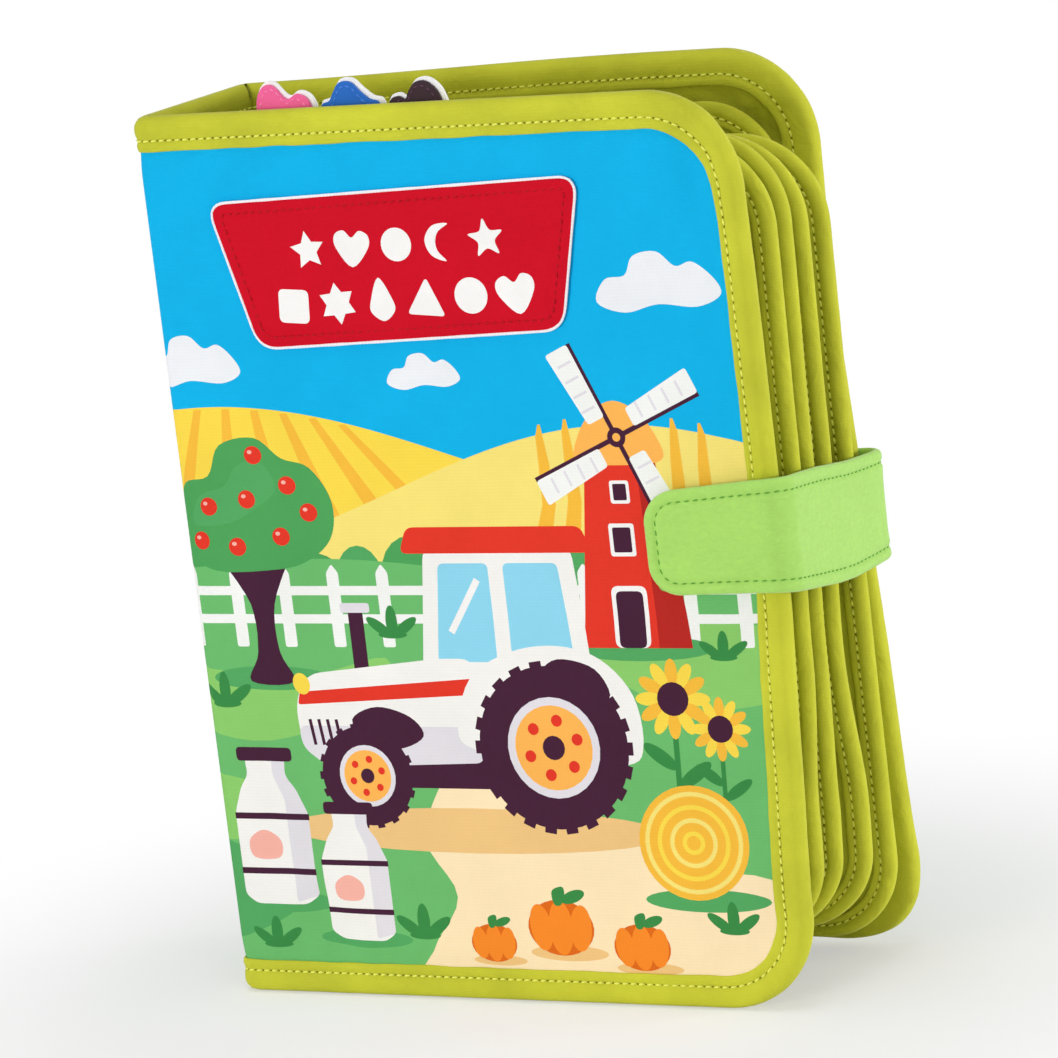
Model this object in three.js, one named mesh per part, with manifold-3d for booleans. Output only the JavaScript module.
// A quiet book: a soft cloth activity book, standing closed on its lower edge.
// Millimetres, +Z up. The spine is on the -X side, the front cover faces -Y and the pages open at +X.
// Padded covers and spine, five padded leaves sewn to the spine, three felt figures in pockets behind
// the front cover, and a strap that holds the book shut. Everything is a layer of cloth, foam or felt.

import * as THREE from "three";
import { mergeVertices } from "three/addons/utils/BufferGeometryUtils.js";
import Module from "manifold-3d";

const wasm = await Module();
wasm.setup();

// Book
const coverHeight = 250;
const coverWidth = 182;
const coverThickness = 6.5;
const coverCornerRadius = 27;

// Leaves, and the spaces in front of each one and behind the last
const leafThickness = 8;
const leafBottom = 10;
const leafTopDrop = 14;
const leafProud = 1.4;
const leafCornerRadius = 24;
const leafSpaces = [4.6, 0.6, 0.6, 2.6, 0.6];
const lastSpace = 0.6;
const rootThickness = 1.2;
const rootTaper = 24;
const rootFree = 3;
const pageCloth = 0.45;

// Cloth, foam and edge binding
const coverCloth = 0.7;
const layerGap = 0.3;
const foldGap = 0.3;
const bindingWidth = 9.6;
const bindingCloth = 0.9;
const bindingNose = 2.2;
const bindingInnerNose = 1.5;
const padEdge = 2.8;
const crownRun = 14;
const coverOuterCrown = 0.95;
const coverInnerCrown = 0.6;
const squareCornerRadius = 0.5;

// Hinge tapes that hold the leaves to the spine
const tapeCloth = 0.6;
const tapeFlange = 6;
const tapeStand = 2.75;

// Title patch on the front cover
const titleThickness = 1.1;
const titleLeft = 21;
const titleTopDrop = 24;
const titleTopWidth = 112;
const titleBottomWidth = 91;
const titleHeight = 40;
const titleShift = -1.5;
const titleCornerRadius = 5;

// Strap
const strapWidth = 31;
const strapThickness = 2.2;
const strapCentreHeight = 128;
const strapTabLength = 40;
const strapBaseLength = 44;
const strapEndRadius = 8;
const strapEdgeRound = 0.6;
const strapStand = 0.9;
const fastenerThickness = 0.7;
const fastenerWidth = 22;
const fastenerLength = 20;
const fastenerCornerRadius = 2;
const fastenerFromEdge = 16;

// Felt figures and their pocket
const feltThickness = 1.2;
const figureWidth = 19.2;
const figureRim = 1.5;
const figurePitch = 20.4;
const figureStartX = 34.2;
const figureRises = [7, 6.6, 5.8];
const pocketTopDrop = 14;
const pocketHeight = 55;
const pocketSeam = 2.4;
const pocketCloth = 0.6;
const pocketEase = 0.3;

// Steps round each curve
const cornerSteps = 4;
const endSteps = 3;
const overrun = 5;

// Sizes that follow
const leafHeight = coverHeight - leafTopDrop - leafBottom;
const leafReach = coverWidth + leafProud;
const titleTop = coverHeight - titleTopDrop;
const figureTops = figureRises.map((rise) => coverHeight + rise);
const pocketTop = coverHeight - pocketTopDrop;
const pocketBottom = pocketTop - pocketHeight;
const clothEdge = bindingCloth + layerGap;
const coverHalf = coverThickness / 2;
const coverRim = coverHalf - clothEdge;
const leafHalf = leafThickness / 2;
const leafRim = leafHalf - clothEdge;
const rootHalf = rootThickness / 2;
const spacesTotal = leafSpaces.reduce((sum, space) => sum + space, 0) + lastSpace;
const bookThickness = 2 * coverThickness + leafSpaces.length * leafThickness + spacesTotal;
const spineWidth = bookThickness - 2 * (coverThickness + foldGap);
const plateauOut = coverHalf - coverRim - coverOuterCrown;
const liningDepth = coverHalf + coverRim + coverInnerCrown;
const strapInner = -(fastenerThickness * 2 + layerGap * 3) + plateauOut;
const strapOuter = strapInner - strapThickness;
const bridgeInner = leafReach + strapStand;
const bridgeOuter = bridgeInner + strapThickness;
const strapBack = bookThickness + layerGap;

// The model is built from the spine's outer face and the front cover's outer face, then centred on
// the whole book with its strap.
const centreX = bridgeOuter / 2;
const centreY = (strapOuter + strapBack + strapThickness) / 2;

const cloth = (name, colour, roughness) =>
  new THREE.MeshStandardMaterial({ name, color: colour, roughness, metalness: 0 });
const lime = cloth("lime_binding_twill", "#c3c83f", 0.9);
const limeLining = cloth("lime_lining_cloth", "#a9ad2c", 0.92);
const printed = cloth("printed_cover_cloth", "#18aee4", 0.85);
const pageCover = cloth("page_cloth", "#b9be3a", 0.9);
const padding = cloth("white_padding", "#ece9e0", 0.95);
const patchRed = cloth("red_title_cloth", "#cf152b", 0.85);
const velour = cloth("green_strap_velour", "#a6dc69", 0.95);
const fastener = cloth("green_hook_and_loop", "#8ecb57", 0.95);
const feltWhite = cloth("white_felt", "#f1eff2", 0.97);
const feltColours = [
  cloth("pink_felt", "#ee5f99", 0.97),
  cloth("blue_felt", "#1a66c0", 0.97),
  cloth("plum_felt", "#2c1524", 0.97),
];

// Booleans: a closed geometry as a solid, and a solid back as a geometry
function toSolid(geometry) {
  const bare = geometry.clone();
  bare.deleteAttribute("normal");
  bare.deleteAttribute("uv");
  const merged = mergeVertices(bare, layerGap / 1000);
  const source = merged.index.array;
  const corners = [];
  for (let t = 0; t < source.length; t += 3) {
    const [a, b, c] = [source[t], source[t + 1], source[t + 2]];
    if (a !== b && b !== c && c !== a) corners.push(a, b, c);
  }
  const mesh = new wasm.Mesh({
    numProp: 3,
    vertProperties: new Float32Array(merged.attributes.position.array),
    triVerts: new Uint32Array(corners),
  });
  return new wasm.Manifold(mesh);
}

function toGeometry(solid) {
  const mesh = solid.getMesh();
  const geometry = new THREE.BufferGeometry();
  const places = new Float32Array(mesh.vertProperties);
  geometry.setAttribute("position", new THREE.BufferAttribute(places, 3));
  geometry.setIndex(new THREE.BufferAttribute(new Uint32Array(mesh.triVerts), 1));
  geometry.computeVertexNormals();
  return geometry;
}

function cut(geometry, ...tools) {
  let solid = toSolid(geometry);
  for (const tool of tools) solid = solid.subtract(toSolid(tool));
  return toGeometry(solid);
}

function boxBetween(x0, x1, y0, y1, z0, z1) {
  const box = new THREE.BoxGeometry(x1 - x0, y1 - y0, z1 - z0);
  return box.translate((x0 + x1) / 2, (y0 + y1) / 2, (z0 + z1) / 2);
}

function named(name, geometry, material) {
  const mesh = new THREE.Mesh(geometry, material);
  mesh.name = name;
  return mesh;
}

// Stations along a panel's upper and lower edges, closer together beside the spine
const upperShares = [0.07, 0.14, 0.5];
const foreShares = [0.33, 0.67];

// Points round a panel at one distance inside its edge, from the upper spine corner to the fore edge
// and back underneath. Past the middle the ring closes to the centre.
function ringAt(panel, inset) {
  const top = panel.height / 2 - inset;
  const near = panel.near + inset;
  const far = panel.far - inset;
  const points = [];
  if (inset >= panel.middle) {
    const centre = [(panel.near + panel.far) / 2, 0];
    return Array.from({ length: panel.stations }, () => centre);
  }
  const radii = [squareCornerRadius, panel.farRadius, panel.farRadius, squareCornerRadius];
  const corners = [[near, top], [far, top], [far, -top], [near, -top]];
  const inward = [[1, -1], [-1, -1], [-1, 1], [1, 1]];
  const steps = [1, cornerSteps, cornerSteps, 1];
  const arcs = corners.map(([x, z], k) => {
    const radius = Math.max(radii[k] - inset, squareCornerRadius);
    const centre = [x + inward[k][0] * radius, z + inward[k][1] * radius];
    const start = Math.PI - (k * Math.PI) / 2;
    return Array.from({ length: steps[k] + 1 }, (_, step) => {
      const angle = start - ((step / steps[k]) * Math.PI) / 2;
      return [centre[0] + radius * Math.cos(angle), centre[1] + radius * Math.sin(angle)];
    });
  });
  const sides = [upperShares, foreShares, upperShares.map((s) => 1 - s).reverse(), foreShares];
  arcs.forEach((arc, k) => {
    points.push(...arc);
    const [x0, z0] = arc[arc.length - 1];
    const [x1, z1] = arcs[(k + 1) % arcs.length][0];
    for (const s of sides[k]) points.push([x0 + (x1 - x0) * s, z0 + (z1 - z0) * s]);
  });
  return points;
}

// A lathe whose round rings are laid on the panel's rounded outline. Each profile point gives the
// distance inside the edge and the depth, which may change along the panel.
function aroundPanel(panel, profile) {
  const rings = profile.map((point) => ringAt(panel, point.inset));
  const count = rings[0].length;
  const sketch = profile.map((point) => new THREE.Vector2(panel.far - point.inset, point.depth(0)));
  const geometry = new THREE.LatheGeometry(sketch, count);
  const place = geometry.attributes.position;
  for (let v = 0; v < place.count; v += 1) {
    const j = v % profile.length;
    const [x, z] = rings[j][Math.floor(v / profile.length) % count];
    place.setXYZ(v, x, profile[j].depth(x), z);
  }
  return geometry;
}

// A closed layer of a panel: its front face, from the middle out, then its rear face back in
function layer(panel, insets, front, rear) {
  const profile = insets.map((inset) => ({ inset, depth: (x) => front(x, inset) }));
  const back = insets.map((inset) => ({ inset, depth: (x) => rear(x, inset) }));
  return toGeometry(toSolid(aroundPanel(panel, [...profile, ...back.reverse()])));
}

function panelOf({ near, far, height, farRadius }) {
  const middle = Math.min(far - near, height) / 2;
  const stations = 2 * (cornerSteps + 1) + 4 + 2 * (upperShares.length + foreShares.length);
  return { near, far, height, farRadius, middle, stations };
}

// How far a padded face has risen at one distance inside the edge: nothing under the binding, most
// of it in the first few millimetres, then level
const crownAt = (inset) => {
  const run = THREE.MathUtils.clamp((inset - bindingWidth) / crownRun, 0, 1);
  return Math.sin((run * Math.PI) / 2);
};

const firstRiseShare = 0.3;
const panelInsets = (panel) => [panel.middle, bindingWidth + crownRun, bindingWidth, padEdge];
const crownedInsets = (panel) => {
  const rise = bindingWidth + crownRun * firstRiseShare;
  return [...panelInsets(panel).slice(0, 2), rise, ...panelInsets(panel).slice(2)];
};

// The most of its half thickness that a binding's nose is rounded by
const noseShare = 0.7;

// Folded tape sewn over a panel's edge: two flaps and a rounded nose, open towards the panel
function bindingRing(panel, half) {
  const inner = (x) => half(x) - bindingCloth;
  const tip = (x) => half(x) - Math.min(bindingNose, half(x) * noseShare);
  const innerTip = (x) => inner(x) - Math.min(bindingInnerNose, inner(x) * noseShare);
  const flaps = [
    [bindingWidth, inner],
    [bindingWidth, half],
    [bindingNose, half],
    [0, tip],
  ];
  const lining = [
    [bindingWidth, inner],
    [bindingCloth + bindingInnerNose, inner],
    [bindingCloth, innerTip],
  ];
  const side = (points, sign) => points.map(([inset, at]) => ({ inset, depth: (x) => sign * at(x) }));
  return aroundPanel(panel, [
    ...side(flaps, -1),
    ...side(flaps, 1).reverse(),
    ...side(lining, 1).slice(1),
    ...side(lining, -1).reverse(),
  ]);
}
// The binding of a panel, without the side or sides where the cloth runs on into a fold
function binding(panel, half, start, end) {
  const ring = bindingRing(panel, half);
  const deep = coverHeight;
  const tools = [
    boxBetween(panel.near - overrun, start, -deep, deep, -deep, deep),
    boxBetween(
      panel.near - overrun,
      panel.near + bindingWidth + layerGap,
      -deep,
      deep,
      -panel.height / 2 + bindingWidth - layerGap,
      panel.height / 2 - bindingWidth + layerGap,
    ),
  ];
  if (end !== undefined) {
    tools.push(boxBetween(end, panel.far + overrun, -deep, deep, -deep, deep));
    tools.push(
      boxBetween(
        panel.far - bindingWidth - layerGap,
        panel.far + overrun,
        -deep,
        deep,
        -panel.height / 2 + bindingWidth - layerGap,
        panel.height / 2 - bindingWidth + layerGap,
      ),
    );
  }
  return cut(ring, ...tools);
}

// Outer cloth, foam core and lining of a cover or of the spine. Local -Y is the outside.
function paddedWall(panel) {
  const insets = panelInsets(panel);
  const outer = (inset) => -coverRim - coverOuterCrown * crownAt(inset);
  const inner = (inset) => coverRim + coverInnerCrown * crownAt(inset);
  const under = coverCloth + layerGap;
  return {
    cloth: layer(panel, crownedInsets(panel), (x, d) => outer(d), (x, d) => outer(d) + coverCloth),
    core: layer(panel, insets, (x, d) => outer(d) + under, (x, d) => inner(d) - under),
    lining: layer(panel, insets, (x, d) => inner(d) - coverCloth, (x, d) => inner(d)),
  };
}

function cover(side) {
  const group = new THREE.Group();
  const panel = panelOf({
    near: -padEdge,
    far: coverWidth,
    height: coverHeight,
    farRadius: coverCornerRadius,
  });
  const wall = paddedWall(panel);
  group.add(
    named(`${side}_cover_cloth`, wall.cloth, printed),
    named(`${side}_cover_foam`, wall.core, padding),
    named(`${side}_cover_lining`, wall.lining, limeLining),
    named(`${side}_cover_binding`, binding(panel, () => coverHalf, 0), lime),
  );
  return group;
}

function spine() {
  const group = new THREE.Group();
  const panel = panelOf({
    near: -padEdge,
    far: spineWidth + padEdge,
    height: coverHeight,
    farRadius: squareCornerRadius,
  });
  const wall = paddedWall(panel);
  const tape = binding(panel, () => coverHalf, 0, spineWidth);
  const deep = coverHeight;
  const aboveMiddle = boxBetween(-deep, deep, -deep, deep, 0, deep);
  const belowMiddle = boxBetween(-deep, deep, -deep, deep, -deep, 0);
  group.add(
    named("spine_cloth", wall.cloth, printed),
    named("spine_foam", wall.core, padding),
    named("spine_lining", wall.lining, limeLining),
    named("spine_binding_top", cut(tape, belowMiddle), lime),
    named("spine_binding_bottom", cut(tape, aboveMiddle), lime),
  );
  return group;
}

// How far the padding reaches under the binding, and how much of the page's crown it fills
const battingShare = 0.6;
const fillShare = 0.6;

// A leaf's half thickness: a flat sewn strip beside the spine that swells to the padded page
function leafHalfAt(x, full, thin) {
  const run = THREE.MathUtils.clamp(x / rootTaper, 0, 1);
  return thin + (full - thin) * Math.sin((run * Math.PI) / 2);
}

const leafLength = leafReach - (liningDepth + layerGap + tapeStand + layerGap);

function leaf(number) {
  const group = new THREE.Group();
  const panel = panelOf({
    near: -padEdge,
    far: leafLength,
    height: leafHeight,
    farRadius: leafCornerRadius,
  });
  const insets = [panel.middle, rootTaper + crownRun, ...panelInsets(panel).slice(1)];
  const swell = (x) => THREE.MathUtils.clamp((x - rootTaper) / crownRun, 0, 1);
  const face = (x, d) => leafHalfAt(x, leafRim, rootHalf) + clothEdge * crownAt(d) * swell(x);
  const edge = (x) => leafHalfAt(x, leafHalf, rootHalf + clothEdge);
  const batting = panelOf({
    near: rootTaper,
    far: leafLength - bindingWidth * battingShare,
    height: leafHeight - bindingWidth * 2 * battingShare,
    farRadius: leafCornerRadius - bindingWidth * battingShare,
  });
  const battingHalf = leafRim - pageCloth - layerGap;
  const fill = (inset) => battingHalf + (clothEdge * Math.min(inset, crownRun) * fillShare) / crownRun;
  const fillInsets = [batting.middle, bindingWidth + crownRun, 0];
  group.add(
    named(
      `leaf_${number}_front_page`,
      layer(panel, insets, (x, d) => -face(x, d), (x, d) => -face(x, d) + pageCloth),
      pageCover,
    ),
    named(
      `leaf_${number}_padding`,
      layer(batting, fillInsets, (x, d) => -fill(d), (x, d) => fill(d)),
      padding,
    ),
    named(
      `leaf_${number}_rear_page`,
      layer(panel, insets, (x, d) => face(x, d) - pageCloth, (x, d) => face(x, d)),
      pageCover,
    ),
    named(`leaf_${number}_binding`, binding(panel, edge, rootFree), lime),
  );
  return group;
}

// T-shaped tape: a flange sewn flat to the spine's lining and a web that meets the leaf's root
function hingeTape(number) {
  const shape = new THREE.Shape();
  shape.moveTo(0, -tapeFlange / 2);
  shape.lineTo(tapeCloth, -tapeFlange / 2);
  shape.lineTo(tapeCloth, -rootHalf);
  shape.lineTo(tapeStand, -rootHalf);
  shape.lineTo(tapeStand, rootHalf);
  shape.lineTo(tapeCloth, rootHalf);
  shape.lineTo(tapeCloth, tapeFlange / 2);
  shape.lineTo(0, tapeFlange / 2);
  const length = leafHeight - 2 * bindingWidth;
  const geometry = new THREE.ExtrudeGeometry(shape, { depth: length, bevelEnabled: false });
  geometry.translate(0, 0, -length / 2);
  return named(`leaf_${number}_hinge_tape`, toGeometry(toSolid(geometry)), lime);
}

// An outline with rounded corners through a few corner points
function roundedOutline(corners, radius) {
  const shape = new THREE.Shape();
  corners.forEach(([x, z], k) => {
    const [px, pz] = corners[(k + corners.length - 1) % corners.length];
    const [nx, nz] = corners[(k + 1) % corners.length];
    const before = new THREE.Vector2(px - x, pz - z).setLength(radius);
    const after = new THREE.Vector2(nx - x, nz - z).setLength(radius);
    if (k === 0) shape.moveTo(x + before.x, z + before.y);
    else shape.lineTo(x + before.x, z + before.y);
    shape.quadraticCurveTo(x, z, x + after.x, z + after.y);
  });
  shape.closePath();
  return shape;
}

// A flat piece cut from sheet, upright in the XZ plane, from y0 to y1, with softened edges if asked
function sheetPiece(shape, y0, y1, edge, steps) {
  const geometry = new THREE.ExtrudeGeometry(shape, {
    depth: y1 - y0 - 2 * edge,
    bevelEnabled: edge > 0,
    bevelThickness: edge,
    bevelSize: edge,
    bevelOffset: -edge,
    bevelSegments: 2,
    curveSegments: steps,
  });
  geometry.translate(0, 0, edge);
  geometry.rotateX(Math.PI / 2);
  geometry.translate(0, y1, 0);
  return toGeometry(toSolid(geometry));
}

function titlePatch() {
  const narrower = (titleTopWidth - titleBottomWidth) / 2;
  const bottom = titleTop - titleHeight;
  const corners = [
    [titleLeft, titleTop + titleShift],
    [titleLeft + narrower, bottom + titleShift],
    [titleLeft + titleTopWidth - narrower, bottom - titleShift],
    [titleLeft + titleTopWidth, titleTop - titleShift],
  ];
  const back = plateauOut - layerGap;
  const shape = roundedOutline(corners, titleCornerRadius);
  return named("title_patch", sheetPiece(shape, back - titleThickness, back, 0, endSteps), patchRed);
}

function fastenerPatch(name, back) {
  const far = coverWidth - fastenerFromEdge;
  const near = far - fastenerLength;
  const low = strapCentreHeight - fastenerWidth / 2;
  const high = strapCentreHeight + fastenerWidth / 2;
  const shape = roundedOutline([[near, low], [far, low], [far, high], [near, high]], fastenerCornerRadius);
  return named(name, sheetPiece(shape, back - fastenerThickness, back, 0, 2), fastener);
}

// Strap: a base sewn on the back cover, a bridge across the fore edge and a tab on the front
const strapLow = strapCentreHeight - strapWidth / 2;
const strapHigh = strapCentreHeight + strapWidth / 2;

function strapFlat(name, length, y0) {
  const far = bridgeInner - foldGap;
  const near = coverWidth - length;
  const shape = new THREE.Shape();
  shape.moveTo(far, strapLow);
  shape.lineTo(far, strapHigh);
  shape.lineTo(near + strapEndRadius, strapHigh);
  shape.absarc(near + strapEndRadius, strapHigh - strapEndRadius, strapEndRadius, Math.PI / 2, Math.PI);
  shape.absarc(near + strapEndRadius, strapLow + strapEndRadius, strapEndRadius, Math.PI, 1.5 * Math.PI);
  shape.closePath();
  return named(name, sheetPiece(shape, y0, y0 + strapThickness, strapEdgeRound, endSteps), velour);
}

function strapBridge() {
  const low = strapOuter;
  const high = strapBack + strapThickness;
  const shape = new THREE.Shape();
  shape.moveTo(low, strapLow);
  shape.lineTo(high, strapLow);
  shape.lineTo(high, strapHigh);
  shape.lineTo(low, strapHigh);
  shape.closePath();
  const geometry = sheetPiece(shape, -strapThickness, 0, strapEdgeRound, 1);
  geometry.rotateZ(Math.PI / 2);
  geometry.translate(bridgeInner, 0, 0);
  return named("strap_bridge", geometry, velour);
}

// Pocket cloth on the front cover's lining: seams round three sides and between the figures, with
// one open-topped cell for each figure
const feltStack = 2 * feltThickness + layerGap;
const pocketInner = liningDepth + layerGap;
const cellDepth = feltStack + 2 * pocketEase;
const cellWidth = figureWidth + 2 * pocketEase;

function figurePocket() {
  const cells = figureTops.length;
  const near = figureStartX - pocketEase;
  const far = near + figurePitch * (cells - 1) + cellWidth;
  const block = boxBetween(
    near - pocketSeam,
    far + pocketSeam,
    pocketInner,
    pocketInner + cellDepth + pocketCloth,
    pocketBottom - pocketSeam,
    pocketTop,
  );
  const hollows = figureTops.map((_, k) => {
    const left = near + figurePitch * k;
    return boxBetween(
      left,
      left + cellWidth,
      pocketInner - overrun,
      pocketInner + cellDepth,
      pocketBottom,
      pocketTop + overrun,
    );
  });
  return named("figure_pocket", cut(block, ...hollows), limeLining);
}

// Felt figures: a plain body with two ears or a rounded head, by shares of width and height.
// Each outline goes up the left side from the foot and down the right.
const figureHeadShares = [
  [[0.02, 0.87], [0.03, 0.955], [0.16, 1], [0.32, 0.985], [0.45, 0.93], [0.6, 0.965], [0.78, 0.955],
    [0.95, 0.9], [0.98, 0.85]],
  [[0.0, 0.84], [0.06, 0.885], [0.2, 0.885], [0.3, 0.94], [0.42, 0.99], [0.6, 1], [0.74, 0.95],
    [0.84, 0.885], [0.98, 0.86]],
  [[0.0, 0.855], [0.08, 0.895], [0.24, 0.895], [0.38, 0.93], [0.5, 0.985], [0.66, 1], [0.8, 0.95],
    [0.94, 0.9], [1.0, 0.84]],
];
const figureSideShares = [[0.12, 0.02], [0.12, 0.12], [0.03, 0.3], [0.1, 0.55], [0.16, 0.74]];
const figureFootShares = [0.5, 0];

function figureOutline(number, margin) {
  const low = pocketBottom + layerGap;
  const tall = figureTops[number] - low;
  const left = figureStartX + figurePitch * number;
  const place = (u, v) => {
    const x = left + margin + (figureWidth - 2 * margin) * u;
    const z = low + margin + (tall - 2 * margin) * v;
    return [x, z];
  };
  const up = figureSideShares.map(([u, v]) => place(u, v));
  const down = figureSideShares.map(([u, v]) => place(1 - u, v)).reverse();
  const head = figureHeadShares[number].map(([u, v]) => place(u, v));
  const points = [place(...figureFootShares), ...up, ...head, ...down];
  const shape = new THREE.Shape();
  shape.moveTo(...points[0]);
  const curve = new THREE.CatmullRomCurve3(
    points.map(([x, z]) => new THREE.Vector3(x, z, 0)),
    true,
    "centripetal",
  );
  curve.getPoints(points.length * 2).slice(1, -1).forEach((p) => shape.lineTo(p.x, p.y));
  shape.closePath();
  return shape;
}

function feltFigure(number) {
  const group = new THREE.Group();
  const name = ["pink", "blue", "plum"][number];
  const front = pocketInner + pocketEase;
  const behind = front + feltThickness + layerGap;
  const face = sheetPiece(figureOutline(number, figureRim), front, front + feltThickness, 0, 1);
  const backing = sheetPiece(figureOutline(number, 0), behind, behind + feltThickness, 0, 1);
  group.add(
    named(`felt_figure_${name}_face`, face, feltColours[number]),
    named(`felt_figure_${name}_backing`, backing, feltWhite),
  );
  return group;
}

// Assembly. Each moving group holds the pieces that turn or slide together.
const book = new THREE.Group();
book.position.set(-centreX, -centreY, 0);

const backCover = cover("back");
backCover.rotation.x = Math.PI;
backCover.position.set(0, bookThickness - coverHalf, coverHeight / 2);
book.add(backCover, strapFlat("strap_base", strapBaseLength, strapBack));

const spineGroup = spine();
spineGroup.rotation.z = -Math.PI / 2;
spineGroup.position.set(coverHalf, bookThickness - coverThickness - foldGap, coverHeight / 2);
book.add(spineGroup);

const frontCover = cover("front");
frontCover.position.set(0, coverHalf, coverHeight / 2);
book.add(frontCover, titlePatch(), figurePocket());
book.add(fastenerPatch("loop_patch", plateauOut - layerGap));

let depth = coverThickness;
leafSpaces.forEach((space, k) => {
  depth += space + leafHalf;
  const tape = hingeTape(k + 1);
  tape.position.set(liningDepth + layerGap, depth, leafBottom + leafHeight / 2);
  const leafGroup = leaf(k + 1);
  leafGroup.position.set(leafReach - leafLength, depth, leafBottom + leafHeight / 2);
  book.add(tape, leafGroup);
  depth += leafHalf;
});

figureTops.forEach((_, k) => book.add(feltFigure(k)));

book.add(strapBridge(), strapFlat("strap_tab", strapTabLength, strapOuter));
book.add(fastenerPatch("hook_patch", plateauOut - 2 * layerGap - fastenerThickness));

export default book;
